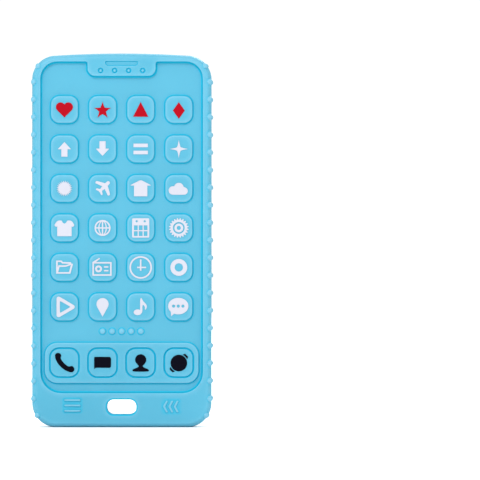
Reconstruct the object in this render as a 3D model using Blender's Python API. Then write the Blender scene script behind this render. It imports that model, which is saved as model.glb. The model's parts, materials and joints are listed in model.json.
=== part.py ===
"""Toy cell phone: a teether moulded in one piece of silicone, with coloured icon inlays.

Metres, +Z up. The phone stands on its bottom edge. The screen faces -Y, the ribbed back
faces +Y, and +X is the right-hand side seen from the front. The origin is the middle of
the bottom edge. Outlines lie in the XZ plane, and the icons' are drawn in millimetres.
"""

import math

import bmesh
import bpy
from mathutils.geometry import tessellate_polygon

MM = 0.001

# Body: a rounded slab, thick enough for a small fist to hold.
HEIGHT = 140.0 * MM
WIDTH = 67.2 * MM
THICKNESS = 12.0 * MM
CORNER_RADIUS = 9.0 * MM
FRONT_EDGE_INSET = 1.7 * MM
FRONT_EDGE_DEPTH = 3.2 * MM
BACK_EDGE_INSET = 2.8 * MM
BACK_EDGE_DEPTH = 3.8 * MM
EDGE_STEPS = 3

# The top edge is slightly crowned: it slopes up from both corners to a long flat arc.
TOP_CROWN = 0.8 * MM
CROWN_REACH = 20.0 * MM
CROWN_SLOPE = TOP_CROWN / (WIDTH / 2 - CROWN_REACH / 2)
CROWN_RADIUS = CROWN_REACH / CROWN_SLOPE
CROWN_APEX = HEIGHT + CROWN_REACH * CROWN_SLOPE / 2

# How far the raised details stand out of the front and back faces.
CHIN_RELIEF = 0.3 * MM
CAMERA_RISE = 0.7 * MM
LENS_RISE = 0.5 * MM
OVERALL_DEPTH = CHIN_RELIEF + THICKNESS + CAMERA_RISE + LENS_RISE
FRONT_Y = CHIN_RELIEF - OVERALL_DEPTH / 2
BACK_Y = FRONT_Y + THICKNESS
CAMERA_Y = BACK_Y + CAMERA_RISE
LENS_Y = CAMERA_Y + LENS_RISE
OVERLAP = 0.4 * MM
DOME_ROOT = 0.7 * MM
SHOULDER = 0.4 * MM

# Screen: a shallow pocket in the front, with a notch left standing at its top.
SCREEN_HALF_WIDTH = 30.4 * MM
SCREEN_BOTTOM = 12.8 * MM
SCREEN_TOP = 136.9 * MM
SCREEN_TOP_RADIUS = 6.4 * MM
SCREEN_BOTTOM_RADIUS = 7.8 * MM
SCREEN_DEPTH = 1.6 * MM
SCREEN_Y = FRONT_Y + SCREEN_DEPTH
NOTCH_HALF_WIDTH = 12.75 * MM
NOTCH_BOTTOM = 131.5 * MM
NOTCH_RADIUS = 2.8 * MM
NOTCH_FILLET = 0.8 * MM

# Notch details: a speaker recess and four round dimples with a raised middle.
EARPIECE_HALF_WIDTH = 6.2 * MM
EARPIECE_TOP = 137.1 * MM
EARPIECE_BOTTOM = 135.2 * MM
EARPIECE_RADIUS = 1.7 * MM
EARPIECE_DEPTH = 0.5 * MM
DIMPLE_COUNT = 4
DIMPLE_Z = 133.5 * MM
DIMPLE_PITCH = 5.25 * MM
DIMPLE_RADIUS = 1.1 * MM
DIMPLE_POST_RADIUS = 0.6 * MM
DIMPLE_DEPTH = 0.6 * MM

# Icon pads: four columns and six rows of raised cushions, almost level with the rim.
COLUMNS = 4
ROWS = 6
COLUMN_PITCH = 14.27 * MM
ROW_PITCH = 14.78 * MM
TOP_ROW_Z = 118.95 * MM
PAD_HALF = 5.35 * MM
PAD_RADIUS = 3.5 * MM
PAD_Y = SCREEN_Y - 1.2 * MM

# Page dots, a row of small domes under the icons.
DOT_COUNT = 5
DOT_PITCH = 3.58 * MM
DOT_Z = 35.9 * MM
DOT_RADIUS = 1.15 * MM
DOT_HEIGHT = 0.8 * MM

# Dock: one raised panel with four buttons, each outlined by a groove.
DOCK_HALF_WIDTH = 29.0 * MM
DOCK_BOTTOM = 16.3 * MM
DOCK_TOP = 31.85 * MM
DOCK_RADIUS = 4.9 * MM
DOCK_Y = SCREEN_Y - 1.0 * MM
DOCK_ROW_Z = 24.15 * MM
DOCK_GROOVE_HALF = 5.8 * MM
DOCK_GROOVE_WIDTH = 0.75 * MM
DOCK_GROOVE_RADIUS = 3.9 * MM
DOCK_GROOVE_DEPTH = 0.6 * MM

# Chin: menu bars, a strap slot right through the phone, and chevrons.
SLOT_Z = 7.6 * MM
SLOT_HALF_WIDTH = 5.5 * MM
SLOT_HALF_HEIGHT = 2.8 * MM
SLOT_RADIUS = 2.55 * MM
BAR_X = -18.4 * MM
BAR_Z = 8.2 * MM
BAR_HALF_LENGTH = 3.1 * MM
BAR_HALF_WIDTH = 0.4 * MM
CHEVRON_X = 18.6 * MM
CHEVRON_Z = 7.8 * MM
CHEVRON_HALF_HEIGHT = 2.25 * MM
CHEVRON_REACH = 1.2 * MM
CHEVRON_STROKE = 1.0 * MM
CHIN_PITCH = 2.0 * MM

# Gripping bumps: a front and a back row down each side, and one pair on each corner. They
# stand square to the rounded edges, at a tilt towards the front or the back.
BUMPS_PER_SIDE = 19
BUMP_PITCH = 6.59 * MM
BUMP_CORNER_ANGLE = math.radians(30)
BUMP_STEPS = 6
# Each row's y, inset from the widest outline, tilt towards the back, radius and height.
BUMP_ROWS = (
    (FRONT_Y + 0.97 * MM, 0.56 * MM, math.radians(-28), 1.15 * MM, 1.1 * MM),
    (BACK_Y - 2.25 * MM, 0.3 * MM, math.radians(11), 1.0 * MM, 0.94 * MM),
)

# Back: round-ended finger grooves, as (x, bottom z, top z) in millimetres. They stop
# short of the strap slot at the bottom and of the camera relief at the top.
GROOVES = (
    (-27.3, 5.6, 134.85),
    (-21.2, 4.8, 135.9),
    (-15.2, 4.9, 135.9),
    (-9.1, 8.3, 135.9),
    (-3.0, 13.5, 106.7),
    (3.0, 13.5, 103.4),
    (9.1, 8.3, 103.4),
    (15.2, 5.1, 103.4),
    (21.2, 4.9, 103.4),
    (27.3, 5.6, 105.2),
)
GROOVE_HALF_WIDTH = 1.43 * MM
GROOVE_DEPTH = 3.0 * MM

# Camera relief on the back: a plate, three lens drums, a flash and a small bar.
CAMERA_CENTRE = (12.65 * MM, 120.2 * MM)
CAMERA_HALF = 15.25 * MM
CAMERA_RADIUS = 6.6 * MM
LENS_CENTRES = ((20.0 * MM, 127.6 * MM), (5.7 * MM, 120.5 * MM), (20.1 * MM, 113.5 * MM))
LENS_RADIUS = 6.0 * MM
LENS_GROOVE_OUTER = 5.1 * MM
LENS_GROOVE_INNER = 4.5 * MM
LENS_GROOVE_DEPTH = 0.8 * MM
LENS_STEPS = 22
FLASH_CENTRE = (5.7 * MM, 109.8 * MM)
FLASH_OUTER = 2.9 * MM
FLASH_INNER = 2.1 * MM
FLASH_DEPTH = 0.5 * MM
CAMERA_BAR_CENTRE = (5.7 * MM, 131.1 * MM)
CAMERA_BAR_HALF_LENGTH = 2.75 * MM
CAMERA_BAR_HALF_WIDTH = 0.85 * MM
CAMERA_BAR_RISE = 0.35 * MM

# Icon inlays: thin coloured silicone bonded onto the pads, with a hairline between them.
BOND_GAP = 0.1 * MM
INLAY_THICKNESS = 0.3 * MM

SILICONE_COLOURS = {
    "silicone_blue": (0.13, 0.58, 0.80, 1.0),
    "silicone_red": (0.60, 0.005, 0.03, 1.0),
    "silicone_white": (0.84, 0.83, 0.90, 1.0),
    "silicone_black": (0.006, 0.006, 0.014, 1.0),
}
SILICONE_ROUGHNESS = 0.55


# ---------------------------------------------------------------- outlines


def arc(centre, radius, start, end, steps):
    """Points on a circle from one angle in degrees to another."""
    points = []
    for i in range(steps + 1):
        angle = math.radians(start + (end - start) * i / steps)
        points.append((centre[0] + radius * math.cos(angle), centre[1] + radius * math.sin(angle)))
    return points


def circle(centre, radius, steps=24):
    return arc(centre, radius, 0, 360, steps)[:-1]


def rounded(corners, steps=4):
    """A closed outline through (x, z, radius) corners, each rounded by an arc."""
    points = []
    for i, (x, z, radius) in enumerate(corners):
        if radius <= 0:
            points.append((x, z))
            continue
        before = corners[i - 1]
        after = corners[(i + 1) % len(corners)]
        heading = math.atan2(z - before[1], x - before[0])
        turn = math.remainder(math.atan2(after[1] - z, after[0] - x) - heading, math.tau)
        side = math.copysign(1, turn)
        setback = radius * math.tan(abs(turn) / 2)
        centre_x = x - setback * math.cos(heading) - side * radius * math.sin(heading)
        centre_z = z - setback * math.sin(heading) + side * radius * math.cos(heading)
        first = math.degrees(heading) - side * 90
        points += arc((centre_x, centre_z), radius, first, first + math.degrees(turn), steps)
    return points


def rounded_box(centre, half_width, half_height, radius, steps=4):
    left, right = centre[0] - half_width, centre[0] + half_width
    low, high = centre[1] - half_height, centre[1] + half_height
    corners = [(left, low, radius), (right, low, radius), (right, high, radius), (left, high, radius)]
    return rounded(corners, steps)


def box(left, right, bottom, top):
    return [(left, bottom), (right, bottom), (right, top), (left, top)]


def mirrored(half):
    """A closed outline from its right half, listed from top to bottom."""
    return half + [(-x, z) for x, z in reversed(half) if abs(x) > 1e-6]


def turned(loop, degrees):
    c, s = math.cos(math.radians(degrees)), math.sin(math.radians(degrees))
    return [(c * x - s * z, s * x + c * z) for x, z in loop]


def softened(loop):
    """The outline with every corner cut once, which rounds it."""
    points = []
    for (ax, az), (bx, bz) in zip(loop, loop[1:] + loop[:1]):
        points.append((0.75 * ax + 0.25 * bx, 0.75 * az + 0.25 * bz))
        points.append((0.25 * ax + 0.75 * bx, 0.25 * az + 0.75 * bz))
    return points


def tangent_angle(centre, radius, tip):
    """Where a line from tip, below a circle, touches its right side, in degrees."""
    dx, dz = tip[0] - centre[0], tip[1] - centre[1]
    return math.degrees(math.atan2(dz, dx) + math.acos(radius / math.hypot(dx, dz)))


# ---------------------------------------------------------------- solids


def add_prism(bm, loops, near_y, far_y):
    """A straight solid from an outer loop and any hole loops."""
    triangles = tessellate_polygon([[(x, z, 0.0) for x, z in loop] for loop in loops])
    ends = []
    for y in (near_y, far_y):
        end = [[bm.verts.new((x, y, z)) for x, z in loop] for loop in loops]
        verts = [vert for loop in end for vert in loop]
        for triangle in triangles:
            bm.faces.new([verts[k] for k in triangle])
        ends.append(end)
    for near, far in zip(*ends):
        bridge(bm, near, far)


def bridge(bm, ring, following):
    for i in range(len(ring)):
        j = (i + 1) % len(ring)
        bm.faces.new((ring[i], ring[j], following[j], following[i]))


def add_loft(bm, sections):
    """A closed solid through (loop, y) sections with equal point counts."""
    rings = [[bm.verts.new((x, y, z)) for x, z in loop] for loop, y in sections]
    for ring, following in zip(rings, rings[1:]):
        bridge(bm, ring, following)
    bm.faces.new(rings[0])
    bm.faces.new(rings[-1])


def add_raised(bm, outline, base_y, top_y, shoulder=SHOULDER):
    """A raised cushion with a rounded shoulder; outline(inset) gives its loop."""
    out = math.copysign(1, top_y - base_y)
    sections = [
        (outline(0.0), base_y - out * OVERLAP),
        (outline(0.3 * shoulder), top_y - out * shoulder),
        (outline(shoulder), top_y),
    ]
    add_loft(bm, sections)


def add_dome(bm, base, outward, across, up, radius, height, steps):
    """A round knob: base is its centre on the wall, and the three directions are unit."""

    def place(a, b, rise):
        return [base[k] + across[k] * a + up[k] * b + outward[k] * rise for k in range(3)]

    rings = []
    for rise, share in ((-DOME_ROOT, 1.0), (0.0, 1.0), (0.75 * height, 0.6)):
        ring = circle((0, 0), radius * share, steps)
        rings.append([bm.verts.new(place(a, b, rise)) for a, b in ring])
    for ring, following in zip(rings, rings[1:]):
        bridge(bm, ring, following)
    apex = bm.verts.new(place(0, 0, height))
    for a, b in zip(rings[-1], rings[-1][1:] + rings[-1][:1]):
        bm.faces.new((a, b, apex))
    bm.faces.new(rings[0])


def add_object(name, bm):
    bmesh.ops.recalc_face_normals(bm, faces=bm.faces)
    mesh = bpy.data.meshes.new(name)
    bm.to_mesh(mesh)
    bm.free()
    obj = bpy.data.objects.new(name, mesh)
    bpy.context.collection.objects.link(obj)
    return obj


def combine(body, operand, operation):
    """Join a hidden helper to the body, or cut it out, by an exact Boolean."""
    operand.hide_render = True
    operand.display_type = "WIRE"
    modifier = body.modifiers.new(operand.name, "BOOLEAN")
    modifier.operation = operation
    modifier.solver = "EXACT"
    modifier.object = operand


def silicone(slot):
    material = bpy.data.materials.get(slot)
    if material is None:
        material = bpy.data.materials.new(slot)
        material.use_nodes = True
        shader = material.node_tree.nodes["Principled BSDF"]
        shader.inputs["Base Color"].default_value = SILICONE_COLOURS[slot]
        shader.inputs["Roughness"].default_value = SILICONE_ROUGHNESS
        shader.inputs["Metallic"].default_value = 0.0
    return material


# ---------------------------------------------------------------- body


def column_x(column):
    return (column - (COLUMNS - 1) / 2) * COLUMN_PITCH


def row_z(row):
    return TOP_ROW_Z - row * ROW_PITCH


def slab_outline(inset):
    x, radius = WIDTH / 2 - inset, CORNER_RADIUS - inset
    shoulder = HEIGHT - TOP_CROWN - inset
    return rounded(
        [
            (-x, inset, radius),
            (x, inset, radius),
            (x, shoulder, radius),
            (0, CROWN_APEX - inset, CROWN_RADIUS - inset),
            (-x, shoulder, radius),
        ],
        6,
    )


def make_slab():
    """The rounded slab, whose outline shrinks into the rounded front and back edges."""
    quarter = [math.radians(90 * i / EDGE_STEPS) for i in range(EDGE_STEPS + 1)]
    sections = []
    for angle in quarter:
        inset = FRONT_EDGE_INSET * (1 - math.sin(angle))
        y = FRONT_Y + FRONT_EDGE_DEPTH * (1 - math.cos(angle))
        sections.append((slab_outline(inset), y))
    for angle in reversed(quarter):
        inset = BACK_EDGE_INSET * (1 - math.sin(angle))
        y = BACK_Y - BACK_EDGE_DEPTH * (1 - math.cos(angle))
        sections.append((slab_outline(inset), y))
    bm = bmesh.new()
    add_loft(bm, sections)
    return add_object("body", bm)


def make_screen_cutter():
    outline = rounded(
        [
            (-SCREEN_HALF_WIDTH, SCREEN_BOTTOM, SCREEN_BOTTOM_RADIUS),
            (SCREEN_HALF_WIDTH, SCREEN_BOTTOM, SCREEN_BOTTOM_RADIUS),
            (SCREEN_HALF_WIDTH, SCREEN_TOP, SCREEN_TOP_RADIUS),
            (NOTCH_HALF_WIDTH, SCREEN_TOP, NOTCH_FILLET),
            (NOTCH_HALF_WIDTH, NOTCH_BOTTOM, NOTCH_RADIUS),
            (-NOTCH_HALF_WIDTH, NOTCH_BOTTOM, NOTCH_RADIUS),
            (-NOTCH_HALF_WIDTH, SCREEN_TOP, NOTCH_FILLET),
            (-SCREEN_HALF_WIDTH, SCREEN_TOP, SCREEN_TOP_RADIUS),
        ]
    )
    bm = bmesh.new()
    add_prism(bm, [outline], FRONT_Y - OVERLAP, SCREEN_Y)
    return add_object("cut_screen", bm)


def make_relief():
    """Pads, dock, page dots, chin symbols and camera plate, which stand on the slab."""
    bm = bmesh.new()
    for row in range(ROWS):
        for column in range(COLUMNS):
            centre = (column_x(column), row_z(row))

            def pad(inset, centre=centre):
                return rounded_box(centre, PAD_HALF - inset, PAD_HALF - inset, PAD_RADIUS - inset, 2)

            add_raised(bm, pad, SCREEN_Y, PAD_Y)

    def dock(inset):
        middle = (0, (DOCK_BOTTOM + DOCK_TOP) / 2)
        half_height = (DOCK_TOP - DOCK_BOTTOM) / 2 - inset
        return rounded_box(middle, DOCK_HALF_WIDTH - inset, half_height, DOCK_RADIUS - inset)

    def plate(inset):
        half = CAMERA_HALF - inset
        return rounded_box(CAMERA_CENTRE, half, half, CAMERA_RADIUS - inset, 6)

    add_raised(bm, dock, SCREEN_Y, DOCK_Y)
    add_raised(bm, plate, BACK_Y, CAMERA_Y)
    for i in range(DOT_COUNT):
        base = ((i - (DOT_COUNT - 1) / 2) * DOT_PITCH, SCREEN_Y, DOT_Z)
        add_dome(bm, base, (0, -1, 0), (1, 0, 0), (0, 0, 1), DOT_RADIUS, DOT_HEIGHT, 8)
    for i in (-1, 0, 1):
        bar = rounded_box((BAR_X, BAR_Z + i * CHIN_PITCH), BAR_HALF_LENGTH, BAR_HALF_WIDTH, 0.15 * MM, 1)
        for symbol in (bar, chevron(CHEVRON_X + i * CHIN_PITCH)):
            add_prism(bm, [symbol], FRONT_Y - CHIN_RELIEF, FRONT_Y + OVERLAP)
    return add_object("add_relief", bm)


def chevron(x):
    """One left-pointing chevron of even stroke."""
    tip = x - CHEVRON_REACH
    high, low = CHEVRON_Z + CHEVRON_HALF_HEIGHT, CHEVRON_Z - CHEVRON_HALF_HEIGHT
    outer = [(x, high), (tip, CHEVRON_Z), (x, low)]
    return outer + [(px + CHEVRON_STROKE, pz) for px, pz in reversed(outer)]


def make_camera_details():
    """Lens drums and a small bar, which stand on the camera plate."""
    bm = bmesh.new()
    for centre in LENS_CENTRES:

        def drum(inset, centre=centre):
            return circle(centre, LENS_RADIUS - inset, LENS_STEPS)

        add_raised(bm, drum, CAMERA_Y, LENS_Y, SHOULDER / 2)
    bar = rounded_box(CAMERA_BAR_CENTRE, CAMERA_BAR_HALF_LENGTH, CAMERA_BAR_HALF_WIDTH, 0.3 * MM, 2)
    add_prism(bm, [bar], CAMERA_Y - OVERLAP, CAMERA_Y + CAMERA_BAR_RISE)
    return add_object("add_camera_details", bm)


def make_detail_cutter():
    """The strap slot, the recesses and ring grooves, and the finger grooves."""
    bm = bmesh.new()
    slot = rounded_box((0, SLOT_Z), SLOT_HALF_WIDTH, SLOT_HALF_HEIGHT, SLOT_RADIUS, 5)
    add_prism(bm, [slot], FRONT_Y - OVERLAP, BACK_Y + OVERLAP)
    earpiece = rounded(
        [
            (-EARPIECE_HALF_WIDTH, EARPIECE_BOTTOM, EARPIECE_RADIUS),
            (EARPIECE_HALF_WIDTH, EARPIECE_BOTTOM, EARPIECE_RADIUS),
            (EARPIECE_HALF_WIDTH, EARPIECE_TOP, 0),
            (-EARPIECE_HALF_WIDTH, EARPIECE_TOP, 0),
        ]
    )
    add_prism(bm, [earpiece], FRONT_Y - OVERLAP, FRONT_Y + EARPIECE_DEPTH)
    for i in range(DIMPLE_COUNT):
        centre = ((i - (DIMPLE_COUNT - 1) / 2) * DIMPLE_PITCH, DIMPLE_Z)
        ring = [circle(centre, DIMPLE_RADIUS, 12), circle(centre, DIMPLE_POST_RADIUS, 12)]
        add_prism(bm, ring, FRONT_Y - OVERLAP, FRONT_Y + DIMPLE_DEPTH)
    for column in range(COLUMNS):
        centre = (column_x(column), DOCK_ROW_Z)
        ring = []
        for inset in (0, DOCK_GROOVE_WIDTH):
            half = DOCK_GROOVE_HALF - inset
            ring.append(rounded_box(centre, half, half, DOCK_GROOVE_RADIUS - inset, 3))
        add_prism(bm, ring, DOCK_Y - OVERLAP, DOCK_Y + DOCK_GROOVE_DEPTH)
    for centre in LENS_CENTRES:
        ring = [circle(centre, radius, LENS_STEPS) for radius in (LENS_GROOVE_OUTER, LENS_GROOVE_INNER)]
        add_prism(bm, ring, LENS_Y - LENS_GROOVE_DEPTH, LENS_Y + OVERLAP)
    ring = [circle(FLASH_CENTRE, radius) for radius in (FLASH_OUTER, FLASH_INNER)]
    add_prism(bm, ring, CAMERA_Y - FLASH_DEPTH, CAMERA_Y + OVERLAP)
    for x, low, high in GROOVES:
        add_groove(bm, x * MM, low * MM, high * MM)
    return add_object("cut_details", bm)


def add_groove(bm, x, low, high):
    """A round-ended groove with a rounded floor, cut in from the back."""
    sections = []
    for depth, share in ((-OVERLAP, 1.0), (0.7 * GROOVE_DEPTH, 1.0), (GROOVE_DEPTH, 0.5)):
        radius = share * GROOVE_HALF_WIDTH
        top = arc((x, high - GROOVE_HALF_WIDTH), radius, 0, 180, 5)
        bottom = arc((x, low + GROOVE_HALF_WIDTH), radius, 180, 360, 5)
        sections.append((top + bottom, BACK_Y - depth))
    add_loft(bm, sections)


def make_bumps():
    """Small domes down both long sides and on the corners."""
    places = []
    for k in range(BUMPS_PER_SIDE):
        z = (k - (BUMPS_PER_SIDE - 1) / 2) * BUMP_PITCH
        places.append((WIDTH / 2, z, 0.0))
    for up in (-1, 1):
        angle = up * BUMP_CORNER_ANGLE
        x = WIDTH / 2 - CORNER_RADIUS * (1 - math.cos(angle))
        z = up * (HEIGHT / 2 - CORNER_RADIUS) + CORNER_RADIUS * math.sin(angle)
        z -= TOP_CROWN if up > 0 else 0
        places.append((x, z, angle))
    bm = bmesh.new()
    for side in (-1, 1):
        for x, z, angle in places:
            level = (side * math.cos(angle), math.sin(angle))
            across = (-level[1], 0, level[0])
            for y, inset, tilt, radius, height in BUMP_ROWS:
                base = (side * x - inset * level[0], y, HEIGHT / 2 + z - inset * level[1])
                outward = (level[0] * math.cos(tilt), math.sin(tilt), level[1] * math.cos(tilt))
                up = (-level[0] * math.sin(tilt), math.cos(tilt), -level[1] * math.sin(tilt))
                add_dome(bm, base, outward, across, up, radius, height, BUMP_STEPS)
    return add_object("add_bumps", bm)


# ---------------------------------------------------------------- icons, in millimetres
# Each icon is a dictionary of islands about its pad's centre: a name, and the island's
# outer loop followed by the loops of its holes.


def star(points, outer, waist, waist_angle, inner):
    """A star with two waist points on each arm, at an angle from the arm's tip."""
    loop = []
    for i in range(points):
        tip = 90 - 360 * i / points
        valley = tip - 180 / points
        following = tip - 360 / points
        for radius, angle in (
            (outer, tip),
            (waist, tip - waist_angle),
            (inner, valley),
            (waist, following + waist_angle),
        ):
            loop += arc((0, 0), radius, angle, angle, 1)[:1]
    return loop


def toothed(count, tooth):
    """A toothed outline; tooth lists its (share of the pitch, radius) points."""
    loop = []
    for i in range(count):
        for share, radius in tooth:
            angle = 360 * (i + share) / count
            loop += arc((0, 0), radius, angle, angle, 1)[:1]
    return loop


def drop(centre, radius, tip, steps=16):
    """A circle drawn down to a point on its middle line."""
    right = tangent_angle(centre, radius, tip)
    return arc(centre, radius, right, 180 - right, steps) + [tip]


def heart():
    lobe, radius, tip = (1.45, 0.9), 1.75, (0, -3.0)
    notch = math.degrees(math.acos(-lobe[0] / radius))
    return {"heart": [mirrored(arc(lobe, radius, notch, tangent_angle(lobe, radius, tip), 12) + [tip])]}


def five_point_star():
    return {"star": [[(x, z - 0.4) for x, z in star(5, 3.35, 2.2, 8.5, 1.35)]]}


def triangle():
    return {"triangle": [[(0, 2.8), (2.86, -2.72), (-2.86, -2.72)]]}


def diamond():
    return {"diamond": [[(0, 2.75), (2.25, -0.4), (0, -3.5), (-2.25, -0.4)]]}


def arrow(name, direction):
    half = [(0, 2.6), (2.4, 0.0), (2.3, -0.15), (1.15, -0.1), (1.15, -2.9)]
    return {name: [[(x, direction * z) for x, z in mirrored(half)]]}


def equals():
    return {
        "equals_upper_bar": [box(-2.7, 2.7, 0.65, 2.0)],
        "equals_lower_bar": [box(-2.7, 2.7, -2.0, -0.65)],
    }


def sparkle():
    return {"sparkle": [star(4, 3.45, 1.55, 14, 0.95)]}


def sun():
    return {"sun": [toothed(24, ((0, 2.15), (0.5, 3.0)))]}


def airplane():
    nose_to_wing = [(0, 3.6), (0.38, 3.5), (0.62, 3.1), (0.68, 2.05)]
    wing = [(3.4, 0.5), (3.65, 0.1), (3.35, -0.5), (0.68, 0.45)]
    tail = [(0.5, -0.8), (1.5, -1.45), (1.65, -1.85), (1.3, -2.1), (0.3, -1.7), (0, -1.9)]
    return {"airplane": [turned(mirrored(nose_to_wing + wing + tail), -45)]}


def house():
    roof = [(0, 3.05), (0.5, 2.95), (3.8, 1.25), (3.65, 1.05), (2.5, 1.1)]
    return {"house": [mirrored([*roof, (2.5, -2.95)])]}


def cloud():
    right = arc((1.95, -0.95), 1.4, -90, 75, 8)
    top = arc((0, 0.3), 1.8, 10, 165, 9)
    left = arc((-2.2, -0.75), 1.6, 80, 270, 10)
    return {"cloud": [right + top + left]}


def shirt():
    collar = [(0, 1.65), (0.35, 1.75), (0.75, 2.15), (0.95, 2.7)]
    sleeve = [(1.7, 2.8), (2.5, 2.65), (3.1, 2.1), (3.75, 1.05), (3.15, 0.35), (2.7, 0.6)]
    return {"shirt": [mirrored([*collar, *sleeve, (2.7, -3.1)])]}


def globe():
    """A globe with an equator, a straight meridian and two curved ones."""
    rim, bar, steps = 2.45, 0.25, 5
    windows = []
    for half_width, half_height, end in ((1.15, 2.4, 2.34), (1.6, 2.6, 2.1)):
        levels = [bar + (end - bar) * i / steps for i in range(steps + 1)]
        meridian = [(half_width * math.sqrt(1 - (z / half_height) ** 2), z) for z in levels]
        if end > 2.2:
            window = [(bar, bar), *meridian]
        else:
            window = [(math.sqrt(rim**2 - z**2), z) for z in levels] + meridian[::-1]
        windows += [[(sx * x, sz * z) for x, z in window] for sx in (-1, 1) for sz in (-1, 1)]
    return {"globe": [circle((0, 0), 3.0, 32), *windows]}


def calendar():
    """A calendar sheet with two binder holes and six blank days."""
    loops = [rounded_box((0, 0), 3.2, 3.6, 0.35, 2)]
    loops += [circle((side * 1.5, 2.5), 0.42, 10) for side in (-1, 1)]
    for column in (-1, 0, 1):
        for row in (0, 1):
            left, bottom = 1.83 * column - 0.7, -3.0 + 2.2 * row
            loops.append(box(left, left + 1.4, bottom, bottom + 1.75))
    return {"calendar": loops}


def gear():
    return {
        "gear_rim": [toothed(20, ((0, 2.95), (0.38, 3.7), (0.62, 3.7))), circle((0, 0), 2.2, 28)],
        "gear_hub": [circle((0, 0), 1.65, 20), circle((0, 0), 0.75, 14)],
    }


def folder():
    outer = [(-3.1, 2.6), (-1.1, 2.6), (-0.6, 2.05), (2.5, 1.95), (2.6, 1.4), (3.25, 1.35)]
    outer += [(2.25, -2.35), (-3.1, -2.35)]
    behind = [(-2.5, 2.0), (-1.35, 2.0), (-0.85, 1.45), (1.9, 1.35), (0.5, 0.85), (-2.2, 0.85), (-2.5, 0.1)]
    flap = [(-1.8, 0.2), (0.55, 0.25), (2.4, 0.9), (1.75, -1.75), (-2.35, -1.75)]
    return {"folder": [outer, behind, flap]}


def radio():
    case = [(-3.8, -3.15), (3.4, -3.15), (3.4, 2.05), (-2.5, 2.05), (-0.95, 3.2), (-1.2, 3.6), (-3.8, 2.0)]
    return {
        "radio_case": [case, box(-3.2, 2.8, -2.55, 1.45)],
        "radio_speaker": [circle((-1.5, -0.55), 1.3, 18), circle((-1.5, -0.55), 0.55, 12)],
        "radio_upper_bar": [box(0.5, 2.2, -0.1, 0.45)],
        "radio_lower_bar": [box(0.5, 2.2, -1.5, -0.95)],
    }


def clock():
    hands = [(-0.3, 3.0), (-0.3, 0.28), (-1.35, 0.28), (-1.35, -0.28), (-0.3, -0.28), (-0.3, -1.25)]
    hands += [(0.3, -1.25), (0.3, -0.28), (2.05, -0.28), (2.05, 0.28), (0.3, 0.28), (0.3, 3.0)]
    return {
        "clock_ring": [circle((0, 0), 4.22, 36), circle((0, 0), 3.62, 36)],
        "clock_hands": [hands],
    }


def ring():
    return {"ring": [circle((0, 0), 3.15, 30), circle((0, 0), 1.55, 20)]}


def play():
    outer = rounded([(-2.95, -4.45, 0.8), (4.65, 0, 0.8), (-2.95, 4.45, 0.8)], 5)
    inner = rounded([(-1.7, -2.3, 0.25), (2.3, 0, 0.25), (-1.7, 2.3, 0.25)], 3)
    return {"play": [outer, inner]}


def map_pin():
    return {"map_pin": [drop((0, 1.05), 2.27, (0, -3.65))]}


def music_note():
    head = [(-1.15 + 1.5 * x, -2.0 + 1.1 * z) for x, z in arc((0, 0), 1, 50, 340, 12)]
    flag_inside = [(0.65, 0.95), (1.35, 0.45), (1.65, -0.35), (1.55, -1.3)]
    flag_outside = [(2.15, -0.6), (2.35, 0.3), (1.9, 1.2), (1.1, 1.95), (0.65, 2.6), (0.45, 3.3)]
    stem = [(-0.2, 3.3), (-0.2, -1.0)]
    return {"music_note": [softened(stem + head + [(0.65, -1.9)] + flag_inside + flag_outside)]}


def speech_bubble():
    """An oval bubble with a tail at its lower left and three dots."""
    middle_x, middle_z = -0.2, 0.3
    oval = [(middle_x + 3.8 * x, middle_z + 3.1 * z) for x, z in arc((0, 0), 1, 245, 582, 28)]
    dots = [circle((middle_x + 1.75 * i, middle_z), 0.58, 12) for i in (-1, 0, 1)]
    return {"speech_bubble": [[*oval, (-2.85, -3.5)], *dots]}


def handset():
    inside = [(0, -0.25), (1.6, -0.05), (2.3, 0.25), (2.65, 1.0), (3.3, 1.35)]
    outside = [(4.2, 1.1), (4.7, 0.35), (4.55, -0.5), (3.5, -1.3), (2.0, -1.85), (0, -2.1)]
    return {"handset": [turned(softened(mirrored(inside + outside)), -45)]}


def message():
    corners = [(-3.15, -2.35, 0), (-2.4, -1.9, 0), (3.15, -1.9, 0.7), (3.15, 2.2, 0.7), (-3.15, 2.2, 0.4)]
    return {"message": [rounded(corners, 3)]}


def person():
    head = arc((0, 1.1), 2.1, 90, -10, 6)
    jaw = [(1.9, 0.2), (1.2, -0.7), (0.7, -1.2)]
    shoulder = [(0.95, -1.6), (1.8, -2.0), (2.8, -2.4), (3.15, -2.85), (2.85, -3.3)]
    return {"person": [softened(mirrored(head + jaw + shoulder))]}


def planet():
    """A disc with two short arcs beside it."""
    islands = {"planet": [circle((0, -0.1), 3.1, 28)]}
    for name, middle in (("planet_upper_arc", 45), ("planet_lower_arc", 225)):
        outer = arc((0, -0.1), 4.15, middle - 12, middle + 12, 5)
        inner = arc((0, -0.1), 3.4, middle + 20, middle - 20, 5)
        islands[name] = [outer + inner]
    return islands


ICON_ROWS = (
    ("silicone_red", (heart(), five_point_star(), triangle(), diamond())),
    ("silicone_white", (arrow("arrow_up", 1), arrow("arrow_down", -1), equals(), sparkle())),
    ("silicone_white", (sun(), airplane(), house(), cloud())),
    ("silicone_white", (shirt(), globe(), calendar(), gear())),
    ("silicone_white", (folder(), radio(), clock(), ring())),
    ("silicone_white", (play(), map_pin(), music_note(), speech_bubble())),
    ("silicone_black", (handset(), message(), person(), planet())),
)


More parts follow.
